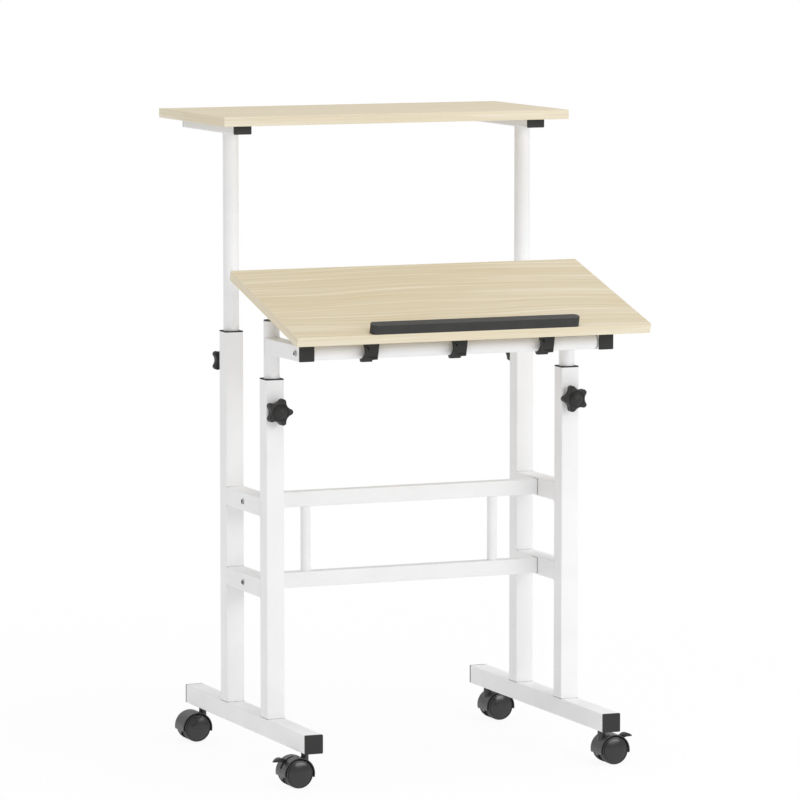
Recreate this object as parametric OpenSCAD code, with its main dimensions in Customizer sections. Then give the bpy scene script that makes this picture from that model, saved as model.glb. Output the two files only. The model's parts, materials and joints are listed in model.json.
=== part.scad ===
/* [Boards] */
// Width of the desktop and the shelf
board_w = 600; // [560:5:700]
// Depth of the desktop from front to back
desk_d = 300; // [260:5:330]
// Depth of the shelf from front to back
shelf_d = 300; // [260:5:360]
// Thickness of both boards
board_t = 15; // [12:1:22]
// Corner radius of both boards, seen from above
board_r = 1.5; // [1:0.5:12]
// Gap between the level desktop's rear edge and the shelf's front edge
board_gap = 2; // [1:0.5:20]

/* [Steel frame] */
// Distance from a board's side to the columns' centre line
side_overhang = 44.3; // [30:0.5:55]
// Distance between the front and the rear columns, centre to centre
column_gap = 178; // [150:1:200]
// Outer size of the square foot, column and side tubes
tube = 30; // [29:0.5:34]
// Wall of the square tubes
tube_wall = 1.2; // [0.8:0.1:1.4]
// Outer corner radius of every square tube
tube_r = 1.6; // [1:0.1:3]
// Length of the front columns
front_column_l = 540; // [500:5:560]
// Length of the rear columns
rear_column_l = 600; // [560:5:680]
// Length of the foot rails without their caps
foot_l = 526; // [500:2:600]
// Height of the lower side rails' centre line above the floor
lower_rail_z = 293; // [180:1:330]
// Height of the upper side rails' centre line above the floor
upper_rail_z = 423; // [370:1:470]
// Height of the crossbars' section
crossbar_h = 25; // [20:1:28]
// Depth of the crossbars' section
crossbar_t = 20; // [16:1:28]
// Diameter of the struts between the crossbars
strut_d = 16; // [10:1:19]
// Distance between the struts, centre to centre
strut_gap = 327; // [200:1:400]

/* [Posts, arms and brackets] */
// Diameter of the round sliding posts
post_d = 25.4; // [24:0.1:26]
// Wall of the round tubes
post_wall = 1.5; // [1:0.1:2]
// Length of the front posts
desk_post_l = 480; // [440:5:520]
// Length of the rear posts
shelf_post_l = 560; // [520:5:640]
// Outer size of the square arms
arm = 25; // [22:0.5:28]
// Distance from the front posts' axis to the tilt pivot
pivot_ahead = 134.5; // [110:0.5:150]
// Distance that an arm runs on ahead of the tilt pivot
arm_nose = 14; // [11:0.5:20]
// Height of the tilt pivot above the floor
pivot_z = 681; // [670:1:760]
// Diameter of the round bar between the arms
bar_d = 25; // [22:0.5:25.4]
// Height of the desktop's underside above the pivot, square to the board
desk_rise = 41; // [38:0.5:50]
// Distance from the pivot to the desktop's front edge, along the board
desk_overhang = 77; // [60:1:100]
// Tilt of the desktop as drawn
desk_tilt = 15.7; // [0:0.1:45]
// Width of the tubes that carry the desktop on the bar
support_w = 15; // [12:1:20]
// Length of those tubes
support_l = 190; // [160:5:220]
// Distance between those tubes, centre to centre
support_gap = 390; // [360:5:420]
// Height of the shelf's top above the floor
shelf_z = 1036.5; // [950:0.5:1100]
// Width of the shelf brackets' section
bracket_w = 30; // [28:0.5:40]
// Height of the shelf brackets' section
bracket_h = 15; // [12:0.5:20]
// Length of the shelf brackets without their caps
bracket_l = 230; // [200:2:260]

/* [Plastic caps and bushes] */
// Flange of the caps on the foot rails
foot_cap_t = 3.5; // [1.5:0.5:6]
// Flange of the caps on the arms and the brackets
small_cap_t = 2; // [1:0.5:4]
// Flange of the caps on top of the front posts
post_cap_t = 2; // [1:0.5:6]
// Depth to which a cap's plug goes into its tube
plug_l = 12; // [8:1:16]
// Flange of the bushes in the column tops
bush_t = 2; // [1:0.5:5]
// Length of the bushes inside the columns
bush_l = 32; // [20:1:36]

/* [Clamp knobs] */
// Diameter of the star knobs over their lobes
knob_d = 44; // [40:1:50]
// Thickness of the star
knob_t = 15; // [10:0.5:20]
// Radius of the scallops between the lobes
scallop_r = 12; // [10:0.5:16]
// Distance from the knob's axis to the bottom of a scallop
scallop_foot = 15.5; // [15:0.5:16.5]
// Diameter of the dome on the star
dome_d = 25; // [16:0.5:26]
// Height of the dome
dome_h = 6; // [3:0.5:8]
// Distance from the column's top down to the knob, front columns
front_knob_drop = 49; // [44:1:120]
// Distance from the column's top down to the knob, rear columns
rear_knob_drop = 49; // [44:1:120]
// Diameter of the knobs' studs
stud_d = 8; // [6:1:10]
// Outer diameter of the weld nuts
nut_d = 16; // [14:0.5:20]
// Height of the weld nuts
nut_t = 6; // [4:0.5:10]

/* [Casters] */
// Height of the casters from the floor to the foot rails
caster_h = 57; // [55:0.5:70]
// Diameter of the wheels
wheel_d = 46; // [40:0.5:47]
// Width of a wheel's tread and flank, without its domed face
wheel_w = 13.5; // [11:0.5:16]
// Rounding of a wheel's outer edge
wheel_edge = 3; // [1:0.5:5]
// Height of the domed face of a wheel
wheel_dome = 3.6; // [1:0.1:4.5]
// Thickness of the web between the wheels
web_w = 12; // [11:0.5:16]
// Thickness of the hood over the wheels
hood_t = 1.6; // [1.2:0.1:1.8]
// Distance from the swivel axis back to the axle
trail = 16; // [14:0.5:20]
// Distance from a foot rail's middle to the front casters
front_caster_y = 227; // [200:1:240]
// Distance from a foot rail's middle to the rear casters
rear_caster_y = 227; // [200:1:240]
// Diameter of the stem in its socket
stem_d = 11; // [9:0.5:12]
// Diameter of the stem in the hood's boss
stem_foot_d = 8; // [6:0.5:9]
// Diameter of the boss around the stem
boss_d = 12; // [11.5:0.5:16]
// Diameter of the wheels' axle
axle_d = 6; // [4:0.5:8]
// Width of the brake pedal
pedal_w = 13; // [10:1:16]

/* [Laptop stop and hooks] */
// Length of the laptop stop
stop_l = 353; // [250:1:450]
// Depth of the laptop stop
stop_d = 18; // [14:0.5:24]
// Height of the laptop stop above the desktop
stop_h = 15; // [12:0.5:25]
// Corner radius of the laptop stop, seen from above
stop_r = 8; // [3:0.5:9]
// Distance between neighbouring hooks
hook_gap = 150; // [110:1:160]
// Width of a hook's clip on the bar
clip_w = 16; // [12:0.5:18]
// Distance from the bar's axis to the front of a hook
hook_reach = 25; // [24:0.5:32]
// Thickness of a hook's tongue
hook_t = 3; // [2:0.25:3.5]
// Thickness of a hook's clip around the bar
clip_t = 3.5; // [2.5:0.25:4]

/* [Fasteners and fits] */
// Diameter of the tilt pivot bolts
pivot_bolt_d = 5; // [5:1:8]
// Diameter of the crossbar bolts
bolt_d = 6; // [5:1:8]
// Thickness of the washers at the tilt pivot
washer_t = 1; // [0.8:0.2:2.4]
// Diameter of the wood screws
screw_d = 4; // [3:0.5:5]
// Radial clearance of what slides or turns
run_fit = 0.08; // [0.03:0.01:0.1]
// Radial clearance of what is seated and stays
seat_fit = 0.05; // [0.02:0.01:0.1]

/* [Hidden] */
$fn = 64;

// Directions: left and right, and front and rear
left = -1;
right = 1;
front = -1;
rear = 1;
sides = [left, right];
ends = [front, rear];

// Places, measured from the middle of the four columns
column_span = board_w - 2 * side_overhang;
column_x = column_span / 2;
column_y = column_gap / 2;
rail_top = caster_h + tube;
tube_inside = tube - 2 * tube_wall;
cap_wall = 1.5;
front_top = rail_top + front_column_l;
rear_top = rail_top + rear_column_l;
rail_heights = [lower_rail_z, upper_rail_z];
side_rail_l = column_gap - tube;
crossbar_l = column_span - tube;
post_r = post_d / 2;
post_bore = post_r - post_wall;
bar_r = bar_d / 2;

// Desktop: it rests level on the post caps, with a small gap
rest_gap = 0.3;
pivot_y = -column_y - pivot_ahead;
cap_top = pivot_z + desk_rise - rest_gap;
desk_post_top = cap_top - post_cap_t;
arm_front = pivot_y - arm_nose;
desk_top_w = desk_rise + board_t;
washer_gap = 0.1;
arm_inner_x = column_x - arm / 2;
bar_end_x = arm_inner_x - washer_t - washer_gap;
insert_l = 20;
support_front = -bar_r / 3;
support_seat = 1.5;
screw_inset = 25;
support_screws = [support_front + screw_inset, support_front + support_l - screw_inset];
stop_screw_inset = 38;
stop_screw_x = stop_l / 2 - stop_screw_inset;
stop_skin = 5;
stop_front = -desk_overhang;

// Shelf
shelf_front = pivot_y - desk_overhang + desk_d + board_gap;
shelf_mid = shelf_front + shelf_d / 2;
bracket_top = shelf_z - board_t;
bracket_z = bracket_top - bracket_h;
bracket_screws = [screw_inset - bracket_l / 2, bracket_l / 2 - screw_inset];

// The origin lies on the floor, under the middle of the whole outline
front_y = pivot_y - desk_overhang * cos(desk_tilt) - (desk_top_w + stop_h) * sin(desk_tilt);
rear_y = shelf_front + shelf_d;
middle_y = (front_y + rear_y) / 2;

// Star knobs: a tip is the circle that touches both scallops beside it and the knob's outer circle
lobes = 5;
half_lobe = 180 / lobes;
knob_r = knob_d / 2;
scallop_at = scallop_foot + scallop_r;
tip_r = (knob_r * knob_r + scallop_at * scallop_at - 2 * scallop_at * knob_r * cos(half_lobe)
    - scallop_r * scallop_r) / (2 * (scallop_r + knob_r - scallop_at * cos(half_lobe)));
tip_at = knob_r - tip_r;
touch = [scallop_at * cos(half_lobe), scallop_at * sin(half_lobe)];
star_core_r = norm(touch + ([tip_at, 0] - touch) * scallop_r / (scallop_r + tip_r));
tip_over = 0.15;
knob_gap = 3.5;
stud_gap = 0.3;
stud_in = 8;
stud_end_gap = 0.1;

// Casters, from the point on the floor under the swivel axis, with +X towards the axle
wheel_r = wheel_d / 2;
wheel_gap = 0.5;
hood_gap = 1;
hood_r = wheel_r + hood_gap + hood_t;
hood_w = web_w + 2 * wheel_gap + 2 * wheel_w - 1;
boss_top = caster_h - 0.5;
wheel_face_t = 2.5;
axle_end_gap = 0.5;
socket_l = 25;
socket_wall = 2.5;
stem_l = 22;
stem_foot_l = 24;
axle_l = web_w + 2 * (wheel_gap + wheel_w - wheel_face_t - axle_end_gap);
hood_toe = 4.5;
hood_heel = 6;
web_foot = 9;
hood_slit = 3;

// Brake levers, from the axle
pedal_pivot = [8, 13];
pedal_pin_d = 3;
pedal_blade = 5;
pedal_slot = 6;
leaf_mid = 26;
leaf_half = 13;

// Hooks, from the bar's axis
clip_r = bar_r + clip_t;
clip_mouth = [20, 130];
link_foot = -12.3;
link_h = 6;
link_lap = 1;
tongue = [[-12.3, 20], [13.2, 20], [9.6, -10], [-11.3, -10], [-11.3, 9]];
slit_at = [-7, 6.5];
slit_size = [2.2, 6];
slit_turn = 31;
groove_at = [0.6, -8.4];
groove_size = [14, 0.8];
lip = [[-11.3, -4], [-8, -9.2], [9.6, -9.2], [9.1, -12.3], [0.5, -12.3], [-0.5, -15.2], [-18, -15.2],
    [-18.6, -11.3], [-14.2, -9.2]];
lip_over = 0.8;
lip_d = 7.5;

// Fasteners
pivot_head_d = 8.5;
pivot_head_t = 3;
small_head_d = 8.6;
small_head_t = 2.2;
crossbar_nut_l = 12;
screw_head_d = 8;
screw_head_t = 2.5;
screw_in = 11;
access_d = 10;

white = "white";
black = "dimgray";
steel = "silver";
maple = "bisque";

// Moves a shape from the columns' middle to the part's own origin
module placed() {
    translate([0, -middle_y, 0]) children();
}

// The desktop's own frame: the pivot is its origin and +Y runs back along the board
module on_desk() {
    placed() translate([0, pivot_y, pivot_z]) rotate([desk_tilt, 0, 0]) children();
}

// Square outline with round corners
module round_rect(size_x, size_y, r) {
    square([size_x - 2 * r, size_y], center = true);
    square([size_x, size_y - 2 * r], center = true);
    for (x = [-1, 1], y = [-1, 1])
        translate([x * (size_x / 2 - r), y * (size_y / 2 - r)]) circle(r = r);
}

// Outline of a square tube's wall
module tube_outline(size_x, size_y, wall) {
    difference() {
        round_rect(size_x, size_y, tube_r);
        square([size_x - 2 * wall, size_y - 2 * wall], center = true);
    }
}

// Square tube along Z, X or Y
module tube_z(size_x, size_y, length, wall) {
    linear_extrude(length) tube_outline(size_x, size_y, wall);
}

module tube_x(size_y, size_z, length, wall) {
    rotate([90, 0, 90]) linear_extrude(length, center = true) tube_outline(size_y, size_z, wall);
}

module tube_y(size_x, size_z, length, wall) {
    rotate([90, 0, 0]) linear_extrude(length, center = true) tube_outline(size_x, size_z, wall);
}

// Cylinders about the middle of their length
module rod_x(r, length) {
    rotate([0, 90, 0]) cylinder(r = r, h = length, center = true);
}

module rod_y(r, length) {
    rotate([90, 0, 0]) cylinder(r = r, h = length, center = true);
}

// Round tube along Z
module round_tube(r, wall, length) {
    difference() {
        cylinder(r = r, h = length);
        translate([0, 0, -1]) cylinder(r = r - wall, h = length + 2);
    }
}

// Flange and hollow plug of a square cap, drawn with the tube's mouth at z = 0
module square_cap(size_x, size_y, flange, wall) {
    plug_x = size_x - 2 * wall - 2 * seat_fit;
    plug_y = size_y - 2 * wall - 2 * seat_fit;
    linear_extrude(flange) round_rect(size_x, size_y, tube_r);
    difference() {
        translate([-plug_x / 2, -plug_y / 2, -plug_l]) cube([plug_x, plug_y, plug_l + 0.5]);
        translate([cap_wall - plug_x / 2, cap_wall - plug_y / 2, -plug_l - 1])
            cube([plug_x - 2 * cap_wall, plug_y - 2 * cap_wall, plug_l]);
    }
}

// Button head with a hex socket and its shank, drawn along +Z from the face under the head
module socket_bolt(d, shank_l, head_d, head_t) {
    difference() {
        union() {
            translate([0, 0, -0.2]) cylinder(r = head_d / 2, h = head_t * 0.55 + 0.2);
            translate([0, 0, head_t * 0.5])
                cylinder(r1 = head_d / 2, r2 = head_d / 2 - head_t * 0.45, h = head_t * 0.5);
        }
        translate([0, 0, head_t * 0.4]) cylinder(r = d * 0.36, h = head_t, $fn = 6);
        translate([0, 0, -1]) cylinder(r = head_d, h = 1);
    }
    translate([0, 0, -shank_l]) cylinder(r = d / 2, h = shank_l + 0.5);
}

// Wood screw with a round head, drawn point up with the face over its head at z = 0
module wood_screw(length) {
    translate([0, 0, -screw_head_t]) cylinder(r1 = screw_head_d / 2 - 1, r2 = screw_head_d / 2, h = 1);
    translate([0, 0, 1 - screw_head_t]) cylinder(r = screw_head_d / 2, h = screw_head_t - 1);
    translate([0, 0, -0.5]) cylinder(r = screw_d / 2, h = length + 0.5);
}

// Foot rails

module foot_rail(side) {
    placed() difference() {
        translate([side * column_x, 0, caster_h + tube / 2]) tube_y(tube, tube, foot_l, tube_wall);
        for (y = [-front_caster_y, rear_caster_y])
            translate([side * column_x, y, caster_h - 1])
                cylinder(r = stem_d / 2 + run_fit + socket_wall + seat_fit, h = tube_wall + 2);
    }
}

module foot_rail_left() {
    color(white) foot_rail(left);
}

module foot_rail_right() {
    color(white) foot_rail(right);
}

module foot_end_caps() {
    color(black) placed() for (side = sides, end = ends)
        translate([side * column_x, end * foot_l / 2, caster_h + tube / 2]) rotate([-90 * end, 0, 0])
            square_cap(tube, tube, foot_cap_t, tube_wall);
}

module caster_sockets() {
    color(steel) placed() for (side = sides, y = [-front_caster_y, rear_caster_y])
        translate([side * column_x, y, caster_h])
            round_tube(stem_d / 2 + run_fit + socket_wall, socket_wall, socket_l);
}

// Columns

module column(side, end, length, knob_drop) {
    placed() translate([side * column_x, end * column_y, rail_top]) difference() {
        tube_z(tube, tube, length, tube_wall);
        translate([0, end * tube / 2, length - knob_drop]) rod_y(stud_d / 2 + 0.5, 4 * tube_wall);
    }
}

module column_front_left() {
    color(white) column(left, front, front_column_l, front_knob_drop);
}

module column_front_right() {
    color(white) column(right, front, front_column_l, front_knob_drop);
}

module column_rear_left() {
    color(white) column(left, rear, rear_column_l, rear_knob_drop);
}

module column_rear_right() {
    color(white) column(right, rear, rear_column_l, rear_knob_drop);
}

module column_bushes() {
    plug = tube_inside - 2 * seat_fit;
    color(black) placed() for (side = sides, end = ends) {
        top = end == front ? front_top : rear_top;
        translate([side * column_x, end * column_y, top]) difference() {
            union() {
                linear_extrude(bush_t) round_rect(tube, tube, tube_r);
                translate([-plug / 2, -plug / 2, -bush_l]) cube([plug, plug, bush_l + 0.5]);
            }
            translate([0, 0, -bush_l - 1]) cylinder(r = post_r + run_fit, h = bush_l + bush_t + 2);
        }
    }
}

// Side rails and crossbars

module side_rails() {
    color(white) placed() for (side = sides, z = rail_heights)
        translate([side * column_x, 0, z]) difference() {
            tube_y(tube, tube, side_rail_l, tube_wall);
            rod_x(bolt_d / 2 + seat_fit, tube + 2);
        }
}

module crossbar(z) {
    placed() translate([0, 0, z]) tube_x(crossbar_t, crossbar_h, crossbar_l, tube_wall);
}

module upper_crossbar() {
    color(white) crossbar(upper_rail_z);
}

module lower_crossbar() {
    color(white) crossbar(lower_rail_z);
}

module crossbar_struts() {
    color(white) placed() for (side = sides)
        translate([side * strut_gap / 2, 0, lower_rail_z + crossbar_h / 2])
            round_tube(strut_d / 2, tube_wall, upper_rail_z - lower_rail_z - crossbar_h);
}

module crossbar_bolts() {
    color(steel) placed() for (side = sides, z = rail_heights)
        translate([side * (column_x + tube / 2), 0, z]) rotate([0, 90 * side, 0])
            socket_bolt(bolt_d, tube + crossbar_nut_l, small_head_d, small_head_t);
}

module crossbar_nuts() {
    size_y = crossbar_t - 2 * tube_wall - 2 * seat_fit;
    size_z = crossbar_h - 2 * tube_wall - 2 * seat_fit;
    color(steel) placed() for (side = sides, z = rail_heights)
        translate([side * (crossbar_l - crossbar_nut_l) / 2, 0, z]) difference() {
            cube([crossbar_nut_l, size_y, size_z], center = true);
            rod_x(bolt_d / 2 + seat_fit, crossbar_nut_l + 2);
        }
}

// Clamp knobs: the frame of a knob has the column's outer face at y = 0 and +Y pointing away from it

module at_knob(side, end) {
    z = end == front ? front_top - front_knob_drop : rear_top - rear_knob_drop;
    turn = end == front ? 180 : 0;
    placed() translate([side * column_x, end * (column_y + tube / 2), z]) rotate([0, 0, turn]) children();
}

module knob_nuts() {
    color(steel) for (side = sides, end = ends) at_knob(side, end)
        translate([0, nut_t / 2, 0]) difference() {
            rod_y(nut_d / 2, nut_t);
            rod_y(stud_d / 2 + run_fit, nut_t + 2);
        }
}

module star_outline() {
    difference() {
        circle(r = star_core_r);
        for (i = [0 : lobes - 1]) rotate((2 * i + 1) * half_lobe)
            translate([scallop_at, 0]) circle(r = scallop_r);
    }
    for (i = [0 : lobes - 1]) rotate(2 * i * half_lobe)
        translate([tip_at - tip_over, 0]) circle(r = tip_r + tip_over);
}

// The star points one lobe towards local +X or -X
module knob(side, end, first_lobe) {
    star_y = nut_t + knob_gap;
    dome_y = star_y + knob_t;
    ball_r = (dome_d * dome_d / 4 + dome_h * dome_h) / (2 * dome_h);
    stud_end = tube / 2 - post_r - stud_gap;
    stud_l = star_y + stud_in + stud_end;
    color(black) at_knob(side, end) {
        difference() {
            union() {
                translate([0, dome_y, 0]) rotate([90, 0, 0]) rotate(first_lobe)
                    linear_extrude(knob_t) star_outline();
                intersection() {
                    translate([0, dome_y + dome_h - ball_r, 0]) sphere(r = ball_r);
                    translate([0, dome_y + dome_h / 2, 0]) rod_y(knob_r, dome_h + 1);
                }
            }
            translate([0, star_y - 1, 0]) rotate([-90, 0, 0])
                cylinder(r = stud_d / 2 + seat_fit, h = stud_in + 1 + stud_end_gap);
        }
        translate([0, stud_l / 2 - stud_end, 0]) rod_y(stud_d / 2, stud_l);
    }
}

module knob_front_left() {
    knob(left, front, 180);
}

module knob_front_right() {
    knob(right, front, 0);
}

module knob_rear_left() {
    knob(left, rear, 0);
}

module knob_rear_right() {
    knob(right, rear, 180);
}

// Front posts, arms and tilt pivot

module desk_post(side) {
    placed() translate([side * column_x, -column_y, desk_post_top - desk_post_l])
        round_tube(post_r, post_wall, desk_post_l);
}

module desk_post_left() {
    color(white) desk_post(left);
}

module desk_post_right() {
    color(white) desk_post(right);
}

module post_caps() {
    color(black) placed() for (side = sides) translate([side * column_x, -column_y, desk_post_top]) {
        cylinder(r = post_r, h = post_cap_t);
        translate([0, 0, -plug_l]) cylinder(r = post_bore - seat_fit, h = plug_l + 0.5);
    }
}

module arm_tube(side) {
    arm_l = -column_y - arm_front;
    placed() difference() {
        translate([side * column_x, -column_y - arm_l / 2, pivot_z]) tube_y(arm, arm, arm_l, post_wall);
        translate([side * column_x, -column_y, pivot_z - arm])
            cylinder(r = post_r + seat_fit, h = 2 * arm);
        translate([side * column_x, pivot_y, pivot_z]) rod_x(pivot_bolt_d / 2 + run_fit, arm + 2);
    }
}

module arm_left() {
    color(white) arm_tube(left);
}

module arm_right() {
    color(white) arm_tube(right);
}

module arm_end_caps() {
    short_plug = arm_nose - pivot_bolt_d / 2 - 1;
    color(black) placed() for (side = sides) translate([side * column_x, arm_front, pivot_z]) {
        size = arm - 2 * post_wall - 2 * seat_fit;
        rotate([90, 0, 0]) linear_extrude(small_cap_t) round_rect(arm, arm, tube_r);
        translate([-size / 2, -0.5, -size / 2]) cube([size, short_plug + 0.5, size]);
    }
}

module pivot_washers() {
    color(steel) placed() for (side = sides)
        translate([side * (arm_inner_x - washer_t / 2), pivot_y, pivot_z]) difference() {
            rod_x(bar_r - 1, washer_t);
            rod_x(pivot_bolt_d / 2 + run_fit, washer_t + 2);
        }
}

// Desktop and what turns with it

module board(depth) {
    linear_extrude(board_t) round_rect(board_w, depth, board_r);
}

module desktop() {
    hole = screw_d / 2 + seat_fit;
    color(maple) on_desk() difference() {
        translate([0, desk_d / 2 - desk_overhang, desk_rise]) board(desk_d);
        for (side = sides, y = support_screws)
            translate([side * support_gap / 2, y, desk_rise - 1])
                cylinder(r = hole, h = screw_in + 1.5);
        for (side = sides)
            translate([side * stop_screw_x, stop_front + stop_d / 2, desk_rise - 1])
                cylinder(r = hole, h = board_t + 2);
    }
}

module pivot_bar() {
    color(white) on_desk() difference() {
        rod_x(bar_r, 2 * bar_end_x);
        rod_x(bar_r - post_wall, 2 * bar_end_x + 2);
    }
}

module pivot_inserts() {
    color(steel) on_desk() for (side = sides)
        translate([side * (bar_end_x - insert_l / 2), 0, 0]) difference() {
            rod_x(bar_r - post_wall - seat_fit, insert_l);
            rod_x(pivot_bolt_d / 2 + seat_fit, insert_l + 2);
        }
}

module pivot_bolts() {
    color(steel) on_desk() for (side = sides)
        translate([side * (column_x + arm / 2 + washer_gap), 0, 0]) rotate([0, 90 * side, 0])
            socket_bolt(pivot_bolt_d, arm + washer_t + insert_l, pivot_head_d, pivot_head_t);
}

module desk_supports() {
    foot = bar_r - support_seat;
    high = desk_rise - foot;
    color(white) on_desk() for (side = sides) difference() {
        translate([side * support_gap / 2, support_front + support_l / 2, foot + high / 2])
            tube_y(support_w, high, support_l, tube_wall);
        rod_x(bar_r + seat_fit, board_w);
        for (y = support_screws) translate([side * support_gap / 2, y, 0]) {
            translate([0, 0, foot - 1]) cylinder(r = access_d / 2, h = tube_wall + 2);
            translate([0, 0, desk_rise - tube_wall - 1])
                cylinder(r = screw_d / 2 + seat_fit, h = tube_wall + 2);
        }
    }
}

module desktop_screws() {
    color(steel) on_desk() {
        for (side = sides, y = support_screws)
            translate([side * support_gap / 2, y, desk_rise - tube_wall])
                wood_screw(screw_in + tube_wall);
        for (side = sides)
            translate([side * stop_screw_x, stop_front + stop_d / 2, desk_rise])
                wood_screw(board_t + stop_h - stop_skin);
    }
}

module laptop_stop() {
    color(black) on_desk() translate([0, stop_front + stop_d / 2, desk_top_w]) difference() {
        linear_extrude(stop_h) round_rect(stop_l, stop_d, stop_r);
        for (side = sides) translate([side * stop_screw_x, 0, -1])
            cylinder(r = screw_d / 2 + seat_fit, h = stop_h - stop_skin + 1.5);
    }
}

// Side view of a hook's clip around the bar, with the link to the tongue in front of it
module clip_profile() {
    link_front = hook_t - hook_reach - link_lap;
    difference() {
        union() {
            circle(r = clip_r);
            polygon([[link_front, link_foot], [link_front, link_foot + link_h], [-bar_r, link_foot + link_h],
                [0, link_lap - clip_r], [0, -clip_r]]);
        }
        circle(r = bar_r + seat_fit);
        polygon([[0, 0], 3 * clip_r * [cos(clip_mouth[0]), sin(clip_mouth[0])], [0, 4 * clip_r],
            3 * clip_r * [cos(clip_mouth[1]), sin(clip_mouth[1])]]);
    }
}

// Front view of a hook's tongue, with a slanted slit above and a level one above its lip
module tongue_outline() {
    difference() {
        polygon(tongue);
        translate(slit_at) rotate(slit_turn) square(slit_size, center = true);
        translate(groove_at) square(groove_size, center = true);
    }
}

module hooks() {
    color(black) on_desk() rotate([-desk_tilt, 0, 0]) for (i = [-1 : 1]) translate([i * hook_gap, 0, 0]) {
        rotate([90, 0, 90]) linear_extrude(clip_w, center = true) clip_profile();
        translate([0, hook_t - hook_reach, 0]) rotate([90, 0, 0]) linear_extrude(hook_t) tongue_outline();
        translate([0, lip_d - hook_reach - lip_over, 0]) rotate([90, 0, 0])
            linear_extrude(lip_d) polygon(lip);
    }
}

// Shelf and what slides with it

module shelf() {
    color(maple) placed() difference() {
        translate([0, shelf_mid, bracket_top]) board(shelf_d);
        for (side = sides, y = bracket_screws)
            translate([side * column_x, shelf_mid + y, bracket_top - 1])
                cylinder(r = screw_d / 2 + seat_fit, h = screw_in + 1.5);
    }
}

module shelf_post(side) {
    placed() translate([side * column_x, column_y, bracket_z - shelf_post_l])
        round_tube(post_r, post_wall, shelf_post_l);
}

module shelf_post_left() {
    color(white) shelf_post(left);
}

module shelf_post_right() {
    color(white) shelf_post(right);
}

module shelf_bracket(side) {
    placed() translate([side * column_x, shelf_mid, bracket_z]) difference() {
        translate([0, 0, bracket_h / 2]) tube_y(bracket_w, bracket_h, bracket_l, tube_wall);
        for (y = bracket_screws) translate([0, y, 0]) {
            translate([0, 0, -1]) cylinder(r = access_d / 2, h = tube_wall + 2);
            translate([0, 0, bracket_h - tube_wall - 1])
                cylinder(r = screw_d / 2 + seat_fit, h = tube_wall + 2);
        }
    }
}

module shelf_bracket_left() {
    color(white) shelf_bracket(left);
}

module shelf_bracket_right() {
    color(white) shelf_bracket(right);
}

module bracket_end_caps() {
    color(black) placed() for (side = sides, end = ends)
        translate([side * column_x, shelf_mid + end * bracket_l / 2, bracket_z + bracket_h / 2])
            rotate([-90 * end, 0, 0]) square_cap(bracket_w, bracket_h, small_cap_t, tube_wall);
}

module shelf_screws() {
    color(steel) placed() for (side = sides, y = bracket_screws)
        translate([side * column_x, shelf_mid + y, bracket_top - tube_wall])
            wood_screw(screw_in + tube_wall);
}

// Casters

module at_caster(side, end) {
    y = end == front ? -front_caster_y : rear_caster_y;
    placed() translate([side * column_x, y, 0]) mirror([side == left ? 1 : 0, 0, 0]) children();
}

module at_axle() {
    translate([trail, 0, wheel_r]) children();
}

// Side outline of the hood: a band over the wheels, open below
module hood_outline() {
    difference() {
        circle(r = hood_r);
        circle(r = hood_r - hood_t);
        translate([0, -2 * hood_r]) square([2 * hood_r, 2 * hood_r - hood_toe]);
        translate([-2 * hood_r, -2 * hood_r]) square([2 * hood_r, 2 * hood_r - hood_heel]);
    }
}

// Side outline of the web between the wheels
module web_outline() {
    intersection() {
        circle(r = hood_r - hood_t / 2);
        translate([-hood_r, -web_foot]) square([2 * hood_r, 2 * hood_r]);
    }
}

module caster_hood(side, end) {
    pocket_w = wheel_w + 4;
    color(black) at_caster(side, end) difference() {
        union() {
            at_axle() {
                rotate([90, 0, 0]) linear_extrude(hood_w, center = true) hood_outline();
                rotate([90, 0, 0]) linear_extrude(web_w, center = true) web_outline();
            }
            translate([0, 0, wheel_r]) cylinder(r = boss_d / 2, h = boss_top - wheel_r);
        }
        at_axle() {
            for (y = [-1, 1]) translate([0, y * (web_w + pocket_w) / 2, 0])
                rod_y(hood_r - hood_t, pocket_w);
            rod_y(axle_d / 2 + seat_fit, web_w + 2);
            if (end == front) {
                translate([pedal_pivot[0] - 5, -pedal_slot / 2, pedal_pivot[1] - 6])
                    cube([hood_r, pedal_slot, hood_r]);
                translate([pedal_pivot[0], 0, pedal_pivot[1]])
                    rod_y(pedal_pin_d / 2 + run_fit, web_w + 2);
                translate([hood_r, 0, hood_slit]) cube([2 * hood_t, 1.2, 5.5], center = true);
            }
        }
        translate([0, 0, caster_h - stem_foot_l])
            cylinder(r = stem_foot_d / 2 + seat_fit, h = stem_foot_l + 1);
    }
}

module caster_pins(side, end) {
    color(steel) at_caster(side, end) {
        translate([0, 0, caster_h - stem_foot_l + 0.5]) cylinder(r = stem_foot_d / 2, h = stem_foot_l);
        translate([0, 0, caster_h - 0.2]) cylinder(r = stem_d / 2, h = stem_l);
        at_axle() rod_y(axle_d / 2, axle_l);
    }
}

// Half of a wheel's section: x is the radius and y runs from the web outwards
module wheel_section() {
    face_r = wheel_r - wheel_edge;
    ball_r = (face_r * face_r + wheel_dome * wheel_dome) / (2 * wheel_dome);
    difference() {
        union() {
            square([face_r, wheel_w]);
            square([wheel_r, wheel_w - wheel_edge]);
            translate([face_r, wheel_w - wheel_edge]) circle(r = wheel_edge);
            intersection() {
                translate([0, wheel_w + wheel_dome - ball_r]) circle(r = ball_r);
                translate([0, wheel_w - 1]) square([face_r, wheel_dome + 1]);
            }
        }
        translate([-1, -1]) square([axle_d / 2 + run_fit + 1, wheel_w - wheel_face_t + 1]);
        translate([-2 * wheel_r, -wheel_r]) square([2 * wheel_r, 3 * wheel_r]);
    }
}

module wheel(side, end, face) {
    color(black) at_caster(side, end) at_axle() translate([0, face * (web_w / 2 + wheel_gap), 0])
        rotate([-90 * face, 0, 0]) rotate_extrude() wheel_section();
}

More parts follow.
